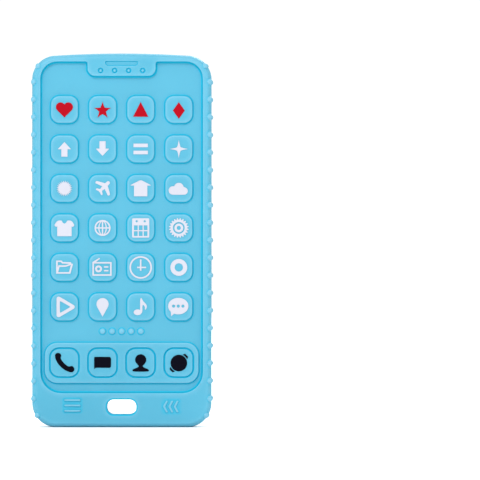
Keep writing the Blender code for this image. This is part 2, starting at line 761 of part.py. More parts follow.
def place_inlays():
    """Make every inlay, on the pads row by row and then on the dock."""
    for row, (slot, icons) in enumerate(ICON_ROWS):
        on_dock = row == ROWS
        z = DOCK_ROW_Z if on_dock else row_z(row)
        bond_y = (DOCK_Y if on_dock else PAD_Y) - BOND_GAP
        for column, islands in enumerate(icons):
            x = column_x(column)
            for name, loops in islands.items():
                placed = [[(x + px * MM, z + pz * MM) for px, pz in loop] for loop in loops]
                bm = bmesh.new()
                add_prism(bm, placed, bond_y - INLAY_THICKNESS, bond_y)
                inlay = add_object(f"{name}_inlay", bm)
                inlay.data.materials.append(silicone(slot))


def main():
    for obj in list(bpy.data.objects):
        bpy.data.objects.remove(obj, do_unlink=True)
    body = make_slab()
    body.data.materials.append(silicone("silicone_blue"))
    combine(body, make_screen_cutter(), "DIFFERENCE")
    combine(body, make_relief(), "UNION")
    combine(body, make_camera_details(), "UNION")
    combine(body, make_detail_cutter(), "DIFFERENCE")
    combine(body, make_bumps(), "UNION")
    place_inlays()


main()
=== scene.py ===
"""Looks of the toy cell phone: a one-piece silicone teether with coloured icon inlays.

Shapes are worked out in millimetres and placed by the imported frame. Every raised or sunk
detail is a stack of rings: an outline swept through (inset, y) steps between two levels.
"""

import json
import math

import bmesh
import bpy
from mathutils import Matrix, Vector
from mathutils.geometry import delaunay_2d_cdt


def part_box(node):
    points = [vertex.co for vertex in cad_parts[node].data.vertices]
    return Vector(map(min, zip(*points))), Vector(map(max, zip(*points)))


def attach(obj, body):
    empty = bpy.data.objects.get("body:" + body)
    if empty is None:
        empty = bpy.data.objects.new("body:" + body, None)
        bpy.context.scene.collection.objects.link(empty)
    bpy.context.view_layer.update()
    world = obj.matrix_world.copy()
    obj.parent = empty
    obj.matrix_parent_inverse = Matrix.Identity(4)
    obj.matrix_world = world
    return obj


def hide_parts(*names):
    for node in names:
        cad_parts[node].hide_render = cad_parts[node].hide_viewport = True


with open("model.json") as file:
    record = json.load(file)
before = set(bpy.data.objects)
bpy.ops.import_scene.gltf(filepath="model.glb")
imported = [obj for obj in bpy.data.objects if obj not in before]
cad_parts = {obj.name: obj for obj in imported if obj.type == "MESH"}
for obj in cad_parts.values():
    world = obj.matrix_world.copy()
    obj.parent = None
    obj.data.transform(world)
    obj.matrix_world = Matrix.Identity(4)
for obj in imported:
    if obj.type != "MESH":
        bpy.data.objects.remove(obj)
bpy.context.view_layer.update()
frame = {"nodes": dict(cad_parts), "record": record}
BODY_LOW, BODY_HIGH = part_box("body")

MM = 0.001

# Levels along Y, worked out from the body's box.
CHIN_RELIEF = 0.3
CAMERA_RISE = 0.7
LENS_RISE = 0.5
FRONT_Y = BODY_LOW.y / MM + CHIN_RELIEF
BACK_Y = BODY_HIGH.y / MM - CAMERA_RISE - LENS_RISE
MIDDLE_Y = (FRONT_Y + BACK_Y) / 2
SCREEN_Y = FRONT_Y + 1.6
PAD_Y = SCREEN_Y - 1.2
DOCK_Y = SCREEN_Y - 1.0
CAMERA_Y = BACK_Y + CAMERA_RISE
LENS_Y = CAMERA_Y + LENS_RISE

# The body's outline, and how its front and back edges are rounded. Bump reach is how far the
# bumps stand out beyond the sides. Support is the width of the flat ring beside a rounded
# edge, which keeps the shading of the flat face even.
BUMP_REACH = 0.62
HALF_WIDTH = BODY_HIGH.x / MM - BUMP_REACH
HEIGHT = BODY_HIGH.z / MM
CORNER_RADIUS = 9.0
TOP_CROWN = 0.8
FRONT_EDGE_INSET, FRONT_EDGE_DEPTH = 1.7, 3.2
BACK_EDGE_INSET, BACK_EDGE_DEPTH = 2.8, 3.8
CORNER_STEPS, CROWN_STEPS, EDGE_STEPS = 54, 10, 8
WALL_STEPS = 22
SUPPORT = 0.08

# Gripping bumps, in a row on each of the rounded edges, and the parting line between them.
BUMPS_PER_SIDE = 19
BUMP_PITCH = 6.59
TOP_CORNER_ANGLE, BOTTOM_CORNER_ANGLE = 37, 33
# Each row's y, and the radius and height of its bumps.
BUMP_ROWS = ((FRONT_Y + 0.62, 1.15, 0.95), (BACK_Y - 2.1, 1.05, 0.88))
# How far apart the mesh's rows and columns are where a side's bumps stand, how many columns
# there are to either side of a bump's middle, and where more stand, as shares of the pitch.
BUMP_SPACING, BUMP_COLUMNS = 0.18, 7
BETWEEN_BUMPS = (0.33, 0.5, 0.67)
# The power of a bump's roundness: half an ellipsoid at 0.5, with softer feet above that.
BUMP_POWER = 0.55
# The tones of a painted highlight at a bump's middle and of painted shade round its foot,
# and the width of the foot as a share of its radius.
BUMP_TONE, BUMP_FOOT_TONE, BUMP_FOOT = -0.7, 0.55, 0.45
PARTING_LINE_HEIGHT = 0.06
PARTING_LINE_HALF_WIDTH = 0.22

# Screen pocket and the notch at its top.
SCREEN_HALF_WIDTH = 30.4
SCREEN_BOTTOM, SCREEN_TOP = 12.8, 136.9
SCREEN_BOTTOM_RADIUS, SCREEN_TOP_RADIUS = 7.8, 6.4
SCREEN_WALL = {"foot": 0.25, "head": 0.45, "draft": 0.32, "sunk": True}
NOTCH_HALF_WIDTH, NOTCH_BOTTOM = 12.75, 131.5
NOTCH_RADIUS, NOTCH_FILLET = 2.8, 0.9
EARPIECE_HALF_WIDTH, EARPIECE_BOTTOM, EARPIECE_TOP = 6.2, 135.2, 137.1
EARPIECE_BOTTOM_RADIUS, EARPIECE_TOP_RADIUS = 1.35, 0.45
EARPIECE_DEPTH = 0.5
EARPIECE_WALL = {"foot": 0.12, "head": 0.2, "draft": 0.08, "sunk": True}
DIMPLE_COUNT, DIMPLE_Z, DIMPLE_PITCH, DIMPLE_RADIUS = 4, 133.5, 5.25, 1.15
# DIMPLE_TONE is the painted shade at the floor of each dimple's ring groove.
DIMPLE_GROOVE_WIDTH, DIMPLE_DEPTH, DIMPLE_TONE, DIMPLE_CROWN = 0.75, 0.5, 0.85, 0.04

# Icon pads, page dots and the dock.
COLUMNS, ROWS = 4, 6
COLUMN_PITCH, ROW_PITCH = 14.27, 14.78
TOP_ROW_Z, DOCK_ROW_Z = 118.95, 24.15
PAD_HALF, PAD_RADIUS = 5.35, 3.5
PAD_WALL = {"foot": 0.3, "head": 0.6, "draft": 0.2}
DOT_COUNT, DOT_PITCH, DOT_Z, DOT_RADIUS = 5, 3.58, 35.9, 1.15
DOT_HEIGHT, DOT_FOOT, DOT_CROWN = 0.72, 0.4, 0.03
DOCK_HALF_WIDTH, DOCK_RADIUS = 29.0, 4.9
DOCK_BOTTOM, DOCK_TOP = 16.3, 31.85
DOCK_WALL = {"foot": 0.3, "head": 0.5, "draft": 0.15}
DOCK_GROOVE_HALF, DOCK_GROOVE_RADIUS = 5.87, 3.9
DOCK_GROOVE_WIDTH, DOCK_GROOVE_DEPTH = 0.85, 0.6

# Chin: the strap slot, with three menu bars on its left and three chevrons on its right.
SLOT_Z, SLOT_HALF_WIDTH, SLOT_HALF_HEIGHT = 7.6, 5.5, 2.8
SLOT_LIP, SLOT_RADIUS = 0.6, 2.55
# Tones of painted shade over the slot's lip, darkening into the slot.
SLOT_LIP_TONES = (0.2, 0.9, 1.0, 1.0, 1.0, 1.0)
BAR_X, BAR_Z, BAR_HALF_LENGTH, BAR_HALF_WIDTH, BAR_RADIUS = -18.4, 8.2, 3.1, 0.42, 0.34
BAR_WALL = {"foot": 0.3, "head": 0.2}
CHEVRON_X, CHEVRON_Z, CHEVRON_HALF_HEIGHT = 18.6, 7.8, 2.25
CHEVRON_REACH, CHEVRON_STROKE = 1.2, 0.95
CHEVRON_BEND_RADIUS, CHEVRON_END_RADIUS = 0.5, 0.3
CHEVRON_WALL = {"foot": 0.25, "head": 0.14}
CHIN_PITCH = 2.0
CHIN_GROUP_HALF_WIDTH, CHIN_GROUP_HALF_HEIGHT, CHIN_GROUP_RADIUS = 4.15, 3.3, 1.2
# Tones of painted shade round each chin symbol's foot and of a painted highlight on its top.
SYMBOL_FOOT_TONE, SYMBOL_TOP_TONE = 0.45, -0.8

# Finger grooves in the back, as (x, bottom z, top z).
GROOVES = (
    (-27.3, 5.6, 134.85),
    (-21.2, 4.8, 135.8),
    (-15.2, 4.9, 135.9),
    (-9.1, 8.3, 135.9),
    (-3.0, 13.5, 106.7),
    (3.0, 13.5, 103.4),
    (9.1, 8.3, 103.4),
    (15.2, 5.1, 103.4),
    (21.2, 4.9, 103.4),
    (27.3, 5.6, 105.2),
)
GROOVE_HALF_WIDTH, GROOVE_DEPTH = 1.43, 3.0
GROOVE_LIP, GROOVE_DRAFT, GROOVE_FILLET = 0.3, 0.12, 0.9
# Tones of painted shade over the grooves' lips, walls and floors.
GROOVE_LIP_TONES = (0.0, 0.1, 0.3, 0.5, 0.75, 0.9)
GROOVE_WALL_TONE, GROOVE_FLOOR_TONE = 0.9, 0.7

# Camera relief on the back.
CAMERA_CENTRE, CAMERA_HALF, CAMERA_RADIUS = (12.65, 120.2), 15.25, 6.6
CAMERA_WALL = {"foot": 0.22, "head": 0.35, "draft": 0.08}
LENS_CENTRES = ((20.0, 127.6), (5.7, 120.5), (20.1, 113.5))
LENS_RADIUS, LENS_STEPS = 6.0, 72
LENS_WALL = {"foot": 0.16, "head": 0.26, "draft": 0.05}
LENS_GROOVE_RADIUS, LENS_GROOVE_WIDTH, LENS_GROOVE_DEPTH = 5.15, 0.75, 0.62
FLASH_CENTRE, FLASH_RADIUS = (5.7, 109.8), 2.9
FLASH_GROOVE_WIDTH, FLASH_GROOVE_DEPTH = 0.75, 0.5
CAMERA_BAR_CENTRE, CAMERA_BAR_HALF_LENGTH, CAMERA_BAR_HALF_WIDTH = (5.7, 131.1), 2.75, 0.85
CAMERA_BAR_RADIUS, CAMERA_BAR_RISE = 0.45, 0.35
CAMERA_BAR_WALL = {"foot": 0.13, "head": 0.18}

# Icon inlays: bonded into the pads, a little proud of them. A corner that turns through more
# degrees than the sharp one stays a corner when the outlines are smoothed.
INLAY_PROUD, INLAY_SUNK = 0.16, 0.12
INLAY_EDGE, INLAY_SUPPORT = 0.05, 0.008
SHARP_CORNER = 32

# Colours of the silicone. The blue one gets painted shade in hollows and a painted highlight
# at edges, which reach some millimetres into the faces beside them.
BLUE, SHADE_PAINTED_BLUE, HIGHLIGHT_PAINTED_BLUE = (0.079, 0.336, 0.47, 1), (0.0, 0.36, 0.535, 1), (0.16, 0.4, 0.525, 1)
RED, WHITE, BLACK = (0.325, 0.001, 0.008, 1), (0.46, 0.47, 0.535, 1), (0.002, 0.002, 0.006, 1)
HOLLOW_REACH, EDGE_REACH = 1.6, 2.2

# Noise scales of the silicone's mottling, its worn gloss and its grain, per metre.
MOTTLE_SCALE, RUB_SCALE, GRAIN_SCALE = 45.0, 160.0, 2600.0
MOTTLE_SPREAD, GLOSS_SPREAD = 0.025, 0.06

# Stage.
FLOOR_SIZE, FLOOR_GREY = 12.0, 0.95
KEY_PLACE, BACK_KEY_PLACE = (-0.6, -2.0, 1.7), (0.6, 2.0, 1.7)
KEY_SIZE, KEY_POWER, BACK_KEY_POWER = 1.0, 43.0, 37.0
WORLD_STRENGTH = 1.06

# The photographed view: a long lens, straight on, with the phone left of the middle.
VIEW_WIDTH = 0.1796
VIEW_CENTRE = (0.0443, 0.0701)
LENS_LENGTH = 400.0
SENSOR_WIDTH = 36.0


# ---------------------------------------------------------------- outlines


def arc(centre, radius, start, end, steps):
    """Points on a circle from one angle in degrees to another."""
    points = []
    for i in range(steps + 1):
        angle = math.radians(start + (end - start) * i / steps)
        points.append((centre[0] + radius * math.cos(angle), centre[1] + radius * math.sin(angle)))
    return points


def circle(centre, radius, steps=48):
    return arc(centre, radius, 0, 360, steps)[:-1]


def rounded(corners, steps=9):
    """A closed outline through (x, z, radius) corners, each rounded by an arc."""
    points = []
    for i, (x, z, radius) in enumerate(corners):
        before = corners[i - 1]
        after = corners[(i + 1) % len(corners)]
        heading = math.atan2(z - before[1], x - before[0])
        turn = math.remainder(math.atan2(after[1] - z, after[0] - x) - heading, math.tau)
        side = math.copysign(1, turn)
        setback = radius * math.tan(abs(turn) / 2)
        centre_x = x - setback * math.cos(heading) - side * radius * math.sin(heading)
        centre_z = z - setback * math.sin(heading) + side * radius * math.cos(heading)
        first = math.degrees(heading) - side * 90
        points += arc((centre_x, centre_z), radius, first, first + math.degrees(turn), steps)
    return points


def rounded_box(centre, half_width, half_height, radius, steps=9):
    left, right = centre[0] - half_width, centre[0] + half_width
    low, high = centre[1] - half_height, centre[1] + half_height
    places = ((left, low), (right, low), (right, high), (left, high))
    return rounded([(x, z, radius) for x, z in places], steps)


def neighbours(loop):
    """Each point of a closed outline with the points before and after it."""
    return zip(loop[-1:] + loop[:-1], loop, loop[1:] + loop[:1])


def area(loop):
    """Positive for an outline that runs anticlockwise as seen from the front."""
    return sum(ax * bz - bx * az for (ax, az), (bx, bz) in zip(loop, loop[1:] + loop[:1])) / 2


def direction(start, end):
    length = math.dist(start, end)
    return (end[0] - start[0]) / length, (end[1] - start[1]) / length


def shifted(loop, distances):
    """The outline with each point moved to its left, along the mitre, by its distance."""
    sharpest_mitre = 0.3
    moved = []
    for (before, here, after), distance in zip(neighbours(loop), distances):
        (ax, az), (bx, bz) = direction(before, here), direction(here, after)
        scale = distance / max(sharpest_mitre, 1 + ax * bx + az * bz)
        moved.append((here[0] - (az + bz) * scale, here[1] + (ax + bx) * scale))
    return moved


def inset(loop, distance):
    """The outline moved into the area that it encloses, or out of it if negative."""
    inward = math.copysign(distance, area(loop) * distance)
    return shifted(loop, [inward] * len(loop))


def column_x(column):
    return (column - (COLUMNS - 1) / 2) * COLUMN_PITCH


def row_z(row):
    return TOP_ROW_Z - row * ROW_PITCH


# ---------------------------------------------------------------- profiles
# A profile is a list of (inset, y, tone) steps, which an outline is swept through. Tone is
# painted light: 0 on open faces, 1 on walls and in hollows, where shade is painted into the
# silicone's colour, and below 0 on raised edges, where a highlight is painted.

# Tones of painted shade at a hollow foot, of painted shade turning to a painted highlight over an
# edge, and of a painted highlight over a dome.
HOLLOW_SHADE = (0.1, 0.6, 0.9, 1.0, 1.0, 1.0)
EDGE_SHADE_AND_HIGHLIGHT = (1.0, 0.6, 0.1, -0.45, -0.6, -0.4)
DOME_HIGHLIGHT = (0.8, 0.3, -0.2, -0.6, -0.8, -0.9)

# The powers that broaden the floor of a ring groove, and the painted shade in it.
GROOVE_SHAPE_POWER, GROOVE_TONE_POWER = 0.7, 0.3


def quarter(steps=5):
    """Angles of a quarter turn, in radians."""
    return [math.radians(90 * i / steps) for i in range(steps + 1)]


def lip(level, way, radius, tones, face_tone=0.0):
    """A rounded edge that turns from a flat face towards +Y or, with way -1, towards -Y."""
    profile = [(-radius - SUPPORT, level, face_tone)]
    for t, tone in zip(quarter(), tones):
        y = level + way * radius * (1 - math.cos(t))
        profile.append((-radius * (1 - math.sin(t)), y, tone))
    return profile


def step(start_y, end_y, foot, head, draft=0.0, sunk=False, start_tone=0.0, end_tone=0.0):
    """A wall between two levels, with a fillet of one radius at each of its ends."""
    way = math.copysign(1, end_y - start_y)
    # Painted shade on the wall and in its hollow fillet, and a painted highlight along its raised
    # edge.
    foot_tones, head_tones = (EDGE_SHADE_AND_HIGHLIGHT[::-1], HOLLOW_SHADE[::-1]) if sunk else (HOLLOW_SHADE, EDGE_SHADE_AND_HIGHLIGHT)
    profile = lip(start_y, way, foot, foot_tones, start_tone)
    for t, tone in zip(quarter(), head_tones):
        y = end_y - way * head * (1 - math.sin(t))
        profile.append((draft + head * (1 - math.cos(t)), y, tone))
    profile.append((draft + head + SUPPORT, end_y, end_tone))
    return profile


def ring_groove(level, width, depth, steps=12, painted_shade_at_floor=1.0):
    """A groove with soft lips and a round floor; a positive depth goes towards +Y."""
    # The tone paints shade into the groove, up to the given share at its floor.
    profile = [(-SUPPORT, level, 0.0)]
    for i in range(steps + 1):
        share = (1 - math.cos(math.tau * i / steps)) / 2
        y = level + depth * share**GROOVE_SHAPE_POWER
        profile.append((width * i / steps, y, painted_shade_at_floor * share**GROOVE_TONE_POWER))
    profile.append((width + SUPPORT, level, 0.0))
    return profile


def dome(start_y, end_y, foot, radius):
    """A round knob that grows out of a level by a hollow foot, a fifth of its rise."""
    rise = end_y - start_y
    # Painted shade in the foot, and a painted highlight over the knob.
    profile = [
        (-foot - SUPPORT, start_y, 0.0),
        (-foot, start_y, 0.35),
        (-foot * 0.35, start_y + 0.06 * rise, 0.8),
    ]
    for t, tone in zip(quarter(6)[:-1], DOME_HIGHLIGHT):
        y = start_y + rise * (0.2 + 0.8 * math.sin(t))
        profile.append((radius * (1 - math.cos(t)), y, tone))
    return profile


# ---------------------------------------------------------------- solids


# The vertex attribute that carries each point's tone of painted shade or painted highlight.
TONE = "tone"


def new_mesh():
    bm = bmesh.new()
    bm.verts.layers.float.new(TONE)
    return bm


def add_ring(bm, loop, levels, tones):
    """A ring of vertices over an outline, at its own y and with its own tone at each point."""
    layer = bm.verts.layers.float[TONE]
    ring = []
    for (x, z), y, tone in zip(loop, levels, tones):
        vert = bm.verts.new((x * MM, y * MM, z * MM))
        vert[layer] = tone
        ring.append(vert)
    return ring


def bridge(bm, ring, following):
    for i in range(len(ring)):
        j = (i + 1) % len(ring)
        bm.faces.new((ring[i], ring[j], following[j], following[i]))


def sweep(bm, loop, profile):
    """Sweeps an outline through a profile and returns the first and the last ring."""
    rings = []
    for distance, y, tone in profile:
        rings.append(add_ring(bm, inset(loop, distance), [y] * len(loop), [tone] * len(loop)))
    for ring, following in zip(rings, rings[1:]):
        bridge(bm, ring, following)
    return rings[0], rings[-1]


# What delaunay_2d_cdt gives back, and how near points may lie, in millimetres.
INSIDE_WITH_HOLES = 2
FILL_TOLERANCE = 1e-5


def fill(bm, rings):
    """Fills the flat area inside the first ring and outside the others."""
    verts = [vert for ring in rings for vert in ring]
    points = [Vector((vert.co.x / MM, vert.co.z / MM)) for vert in verts]
    outlines, start = [], 0
    for ring in rings:
        outline = list(range(start, start + len(ring)))
        outer = not outlines
        clockwise = area([points[k] for k in outline]) < 0
        outlines.append(outline[::-1] if clockwise == outer else outline)
        start += len(ring)
    made = delaunay_2d_cdt(points, [], outlines, INSIDE_WITH_HOLES, FILL_TOLERANCE)
    if len(made[0]) != len(verts):
        raise ValueError(f"rings touch or cross: {len(verts)} points became {len(made[0])}")
    for face in made[2]:
        bm.faces.new([verts[made[3][k][0]] for k in face])


def cap(bm, ring, rise=0.0):
    """Closes a ring with a fan, whose middle may stand off by a rise in Y."""
    middle = sum((vert.co for vert in ring), Vector()) / len(ring)
    apex = bm.verts.new(middle + Vector((0, rise * MM, 0)))
    for i in range(len(ring)):
        bm.faces.new((ring[i], ring[(i + 1) % len(ring)], apex))


def finish_piece(name, bm, material, slot, *nodes):
    """Turns a mesh into a smooth-shaded piece that stands for CAD nodes."""
    bmesh.ops.recalc_face_normals(bm, faces=bm.faces)
    mesh = bpy.data.meshes.new(name)
    bm.to_mesh(mesh)
    bm.free()
    mesh.shade_smooth()
    mesh.materials.append(material)
    piece = bpy.data.objects.new(name, mesh)
    bpy.context.collection.objects.link(piece)
    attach(piece, "root")
    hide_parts(*nodes)


# ---------------------------------------------------------------- body


def body_outline():
    """The body's outline at its widest, anticlockwise, and its bumps' places on it."""
    shoulder = HEIGHT - TOP_CROWN - CORNER_RADIUS
    x = HALF_WIDTH - CORNER_RADIUS
    bumps, side = [], []
    for k in range(BUMPS_PER_SIDE):
        middle = HEIGHT / 2 + (k - (BUMPS_PER_SIDE - 1) / 2) * BUMP_PITCH
        side += [middle + BUMP_SPACING * i for i in range(-BUMP_COLUMNS, BUMP_COLUMNS + 1)]
        side += [middle + BUMP_PITCH * share for share in BETWEEN_BUMPS]
        bumps += [(HALF_WIDTH, middle), (-HALF_WIDTH, middle)]
    side = [z for z in side if CORNER_RADIUS < z < shoulder]
    top = []
    for i in range(1, 2 * CROWN_STEPS):
        share = 1 - i / CROWN_STEPS
        top.append((x * share, HEIGHT - TOP_CROWN * share**2))
    loop = arc((x, CORNER_RADIUS), CORNER_RADIUS, -90, 0, CORNER_STEPS)
    loop += [(HALF_WIDTH, z) for z in side]
    loop += arc((x, shoulder), CORNER_RADIUS, 0, 90, CORNER_STEPS)
    loop += top
    loop += arc((-x, shoulder), CORNER_RADIUS, 90, 180, CORNER_STEPS)
    loop += [(-HALF_WIDTH, z) for z in reversed(side)]
    loop += arc((-x, CORNER_RADIUS), CORNER_RADIUS, 180, 270, CORNER_STEPS)
    loop += [(x * i / CROWN_STEPS, 0.0) for i in range(1 - CROWN_STEPS, CROWN_STEPS)]
    for centre_x, centre_z, angle in (
        (x, CORNER_RADIUS, -BOTTOM_CORNER_ANGLE),
        (x, shoulder, TOP_CORNER_ANGLE),
        (-x, shoulder, 180 - TOP_CORNER_ANGLE),
        (-x, CORNER_RADIUS, 180 + BOTTOM_CORNER_ANGLE),
    ):
        bumps += arc((centre_x, centre_z), CORNER_RADIUS, angle, angle, 1)[:1]
    return loop, bumps


def edge_rows():
    """The side wall's (inset, y) rows, from the front face to the back face."""
    rows = [(FRONT_EDGE_INSET + SUPPORT, FRONT_Y)]
    for t in quarter(EDGE_STEPS):
        y = FRONT_Y + FRONT_EDGE_DEPTH * (1 - math.cos(t))
        rows.append((FRONT_EDGE_INSET * (1 - math.sin(t)), y))
    flat_start, flat_end = FRONT_Y + FRONT_EDGE_DEPTH, BACK_Y - BACK_EDGE_DEPTH
    for i in range(1, WALL_STEPS):
        rows.append((0.0, flat_start + (flat_end - flat_start) * i / WALL_STEPS))
    for t in reversed(quarter(EDGE_STEPS)):
        y = BACK_Y - BACK_EDGE_DEPTH * (1 - math.cos(t))
        rows.append((BACK_EDGE_INSET * (1 - math.sin(t)), y))
    rows.append((BACK_EDGE_INSET + SUPPORT, BACK_Y))
    return rows


def refined_rows(rows):
    """The rows with more of them wherever the bumps stand."""
    refined = [rows[0]]
    for (ax, ay), (bx, by) in zip(rows, rows[1:]):
        middle = (ay + by) / 2
        count = 1
        if any(abs(middle - y) < radius + BUMP_SPACING for y, radius, height in BUMP_ROWS):
            count = max(1, math.ceil(math.dist((ax, ay), (bx, by)) / BUMP_SPACING))
        for i in range(1, count + 1):
            refined.append((ax + (bx - ax) * i / count, ay + (by - ay) * i / count))
    return refined


def lengths_along(rows):
    """How far each row is from the first, along the wall."""
    lengths = [0.0]
    for row, following in zip(rows, rows[1:]):
        lengths.append(lengths[-1] + math.dist(row, following))
    return lengths


def bump_at(gap, along, radius, height):
    """A bump's lift off the wall and its tone of painted highlight or shade, gap and along from
    its middle.
    """
    share = math.hypot(gap, along) / radius
    if share < 1:
        return height * (1 - share**2) ** BUMP_POWER, BUMP_TONE * (1 - share**2)
    fade = (share - 1) / BUMP_FOOT
    return 0.0, BUMP_FOOT_TONE * (1 - fade) if fade < 1 else 0.0


def add_walls(bm):
    """The rounded edges and bumpy sides; returns the rings of the front and back faces."""
    outline, bumps = body_outline()
    gaps = [min(math.dist(point, bump) for bump in bumps) for point in outline]
    ridges = [PARTING_LINE_HEIGHT * min(1, z / CORNER_RADIUS) for x, z in outline]
    rows = refined_rows(edge_rows())
    lengths = lengths_along(rows)
    middles = []
    for y, radius, height in BUMP_ROWS:
        nearest = min(range(len(rows)), key=lambda k: abs(rows[k][1] - y))
        middles.append((lengths[nearest], radius, height))
    rings = []
    for k, (distance, y) in enumerate(rows):
        # A bump lifts the wall along its normal, which is square to its way from row to row.
        inward, backward = direction(rows[max(k - 1, 0)], rows[min(k + 1, len(rows) - 1)])
        ridge_share = max(0.0, 1 - ((y - MIDDLE_Y) / PARTING_LINE_HALF_WIDTH) ** 2)
        on_a_face = k in (0, len(rows) - 1)
        insets, levels, tones = [], [], []
        for gap, ridge in zip(gaps, ridges):
            lift, tone = ridge * ridge_share, 0.0
            for middle, radius, height in middles:
                bump_lift, bump_tone = bump_at(gap, lengths[k] - middle, radius, height)
                lift, tone = lift + bump_lift, tone + bump_tone
            insets.append(distance - lift * backward)
            levels.append(y + lift * inward)
            tones.append(0.0 if on_a_face else tone)
        rings.append(add_ring(bm, shifted(outline, insets), levels, tones))
    for ring, following in zip(rings, rings[1:]):
        bridge(bm, ring, following)
    return rings[0], rings[-1]


def add_front(bm, rim):
    """Everything on the front face; returns the slot's front ring."""
    slot_edge, slot_deep = add_slot_lip(bm, FRONT_Y, 1)
    wall = step(FRONT_Y, SCREEN_Y, **SCREEN_WALL)
    screen_edge, screen_floor = sweep(bm, screen_outline(), wall)
    holes = [slot_edge, screen_edge, add_earpiece(bm), *add_chin_symbols(bm)]
    groove = ring_groove(FRONT_Y, DIMPLE_GROOVE_WIDTH, DIMPLE_DEPTH, 8, DIMPLE_TONE)
    for i in range(DIMPLE_COUNT):
        centre = ((i - (DIMPLE_COUNT - 1) / 2) * DIMPLE_PITCH, DIMPLE_Z)
        edge, post = sweep(bm, circle(centre, DIMPLE_RADIUS, 28), groove)
        cap(bm, post, -DIMPLE_CROWN)
        holes.append(edge)
    fill(bm, [rim, *holes])
    add_screen(bm, screen_floor)
    return slot_deep


def screen_outline():
    return rounded(
        [
            (-SCREEN_HALF_WIDTH, SCREEN_BOTTOM, SCREEN_BOTTOM_RADIUS),
            (SCREEN_HALF_WIDTH, SCREEN_BOTTOM, SCREEN_BOTTOM_RADIUS),
            (SCREEN_HALF_WIDTH, SCREEN_TOP, SCREEN_TOP_RADIUS),
            (NOTCH_HALF_WIDTH, SCREEN_TOP, NOTCH_FILLET),
            (NOTCH_HALF_WIDTH, NOTCH_BOTTOM, NOTCH_RADIUS),
            (-NOTCH_HALF_WIDTH, NOTCH_BOTTOM, NOTCH_RADIUS),
            (-NOTCH_HALF_WIDTH, SCREEN_TOP, NOTCH_FILLET),
            (-SCREEN_HALF_WIDTH, SCREEN_TOP, SCREEN_TOP_RADIUS),
        ]
    )


def add_slot_lip(bm, level, way):
    """The strap slot's rounded lip at one face, as its ring on the face and its deep ring."""
    outline = rounded_box((0, SLOT_Z), SLOT_HALF_WIDTH, SLOT_HALF_HEIGHT, SLOT_RADIUS, 10)
    return sweep(bm, outline, lip(level, way, SLOT_LIP, SLOT_LIP_TONES))


def add_earpiece(bm):
    outline = rounded(
        [
            (-EARPIECE_HALF_WIDTH, EARPIECE_BOTTOM, EARPIECE_BOTTOM_RADIUS),
            (EARPIECE_HALF_WIDTH, EARPIECE_BOTTOM, EARPIECE_BOTTOM_RADIUS),
            (EARPIECE_HALF_WIDTH, EARPIECE_TOP, EARPIECE_TOP_RADIUS),
            (-EARPIECE_HALF_WIDTH, EARPIECE_TOP, EARPIECE_TOP_RADIUS),
        ],
        6,
    )
    edge, floor = sweep(bm, outline, step(FRONT_Y, FRONT_Y + EARPIECE_DEPTH, **EARPIECE_WALL))
    fill(bm, [floor])
    return edge


def chevron_outline(tip):
    """A chevron that points to the left, from its tip."""
    high, low = CHEVRON_Z + CHEVRON_HALF_HEIGHT, CHEVRON_Z - CHEVRON_HALF_HEIGHT
    radii = (CHEVRON_END_RADIUS, CHEVRON_BEND_RADIUS, CHEVRON_END_RADIUS)
    left = ((tip + CHEVRON_REACH, high), (tip, CHEVRON_Z), (tip + CHEVRON_REACH, low))
    corners = [(x, z, radius) for (x, z), radius in zip(left, radii)]
    corners += [(x + CHEVRON_STROKE, z, radius) for x, z, radius in reversed(corners)]
    return rounded(corners, 4)


def add_chin_symbols(bm):
    """Three menu bars and three chevrons on the chin; returns a ring round each group."""
    bars, chevrons = [], []
    for i in (-1, 0, 1):
        centre = (BAR_X, BAR_Z + i * CHIN_PITCH)
        bar = rounded_box(centre, BAR_HALF_LENGTH, BAR_HALF_WIDTH, BAR_RADIUS, 4)
        bars.append(add_chin_symbol(bm, bar, BAR_WALL))
        chevron = chevron_outline(CHEVRON_X + i * CHIN_PITCH - CHEVRON_REACH)
        chevrons.append(add_chin_symbol(bm, chevron, CHEVRON_WALL))
    groups = []
    for centre, edges in (((BAR_X, BAR_Z), bars), ((CHEVRON_X, CHEVRON_Z), chevrons)):
        half_width, half_height = CHIN_GROUP_HALF_WIDTH, CHIN_GROUP_HALF_HEIGHT
        around = rounded_box(centre, half_width, half_height, CHIN_GROUP_RADIUS)
        ring = add_ring(bm, around, [FRONT_Y] * len(around), [0.0] * len(around))
        fill(bm, [ring, *edges])
        groups.append(ring)
    return groups


def add_chin_symbol(bm, outline, wall):
    """A symbol that stands a little out of the chin, with painted shade round it and a painted
    highlight on its top.
    """
    tones = {"start_tone": SYMBOL_FOOT_TONE, "end_tone": SYMBOL_TOP_TONE}
    edge, top = sweep(bm, outline, step(FRONT_Y, FRONT_Y - CHIN_RELIEF, **wall, **tones))
    fill(bm, [top])
    return edge


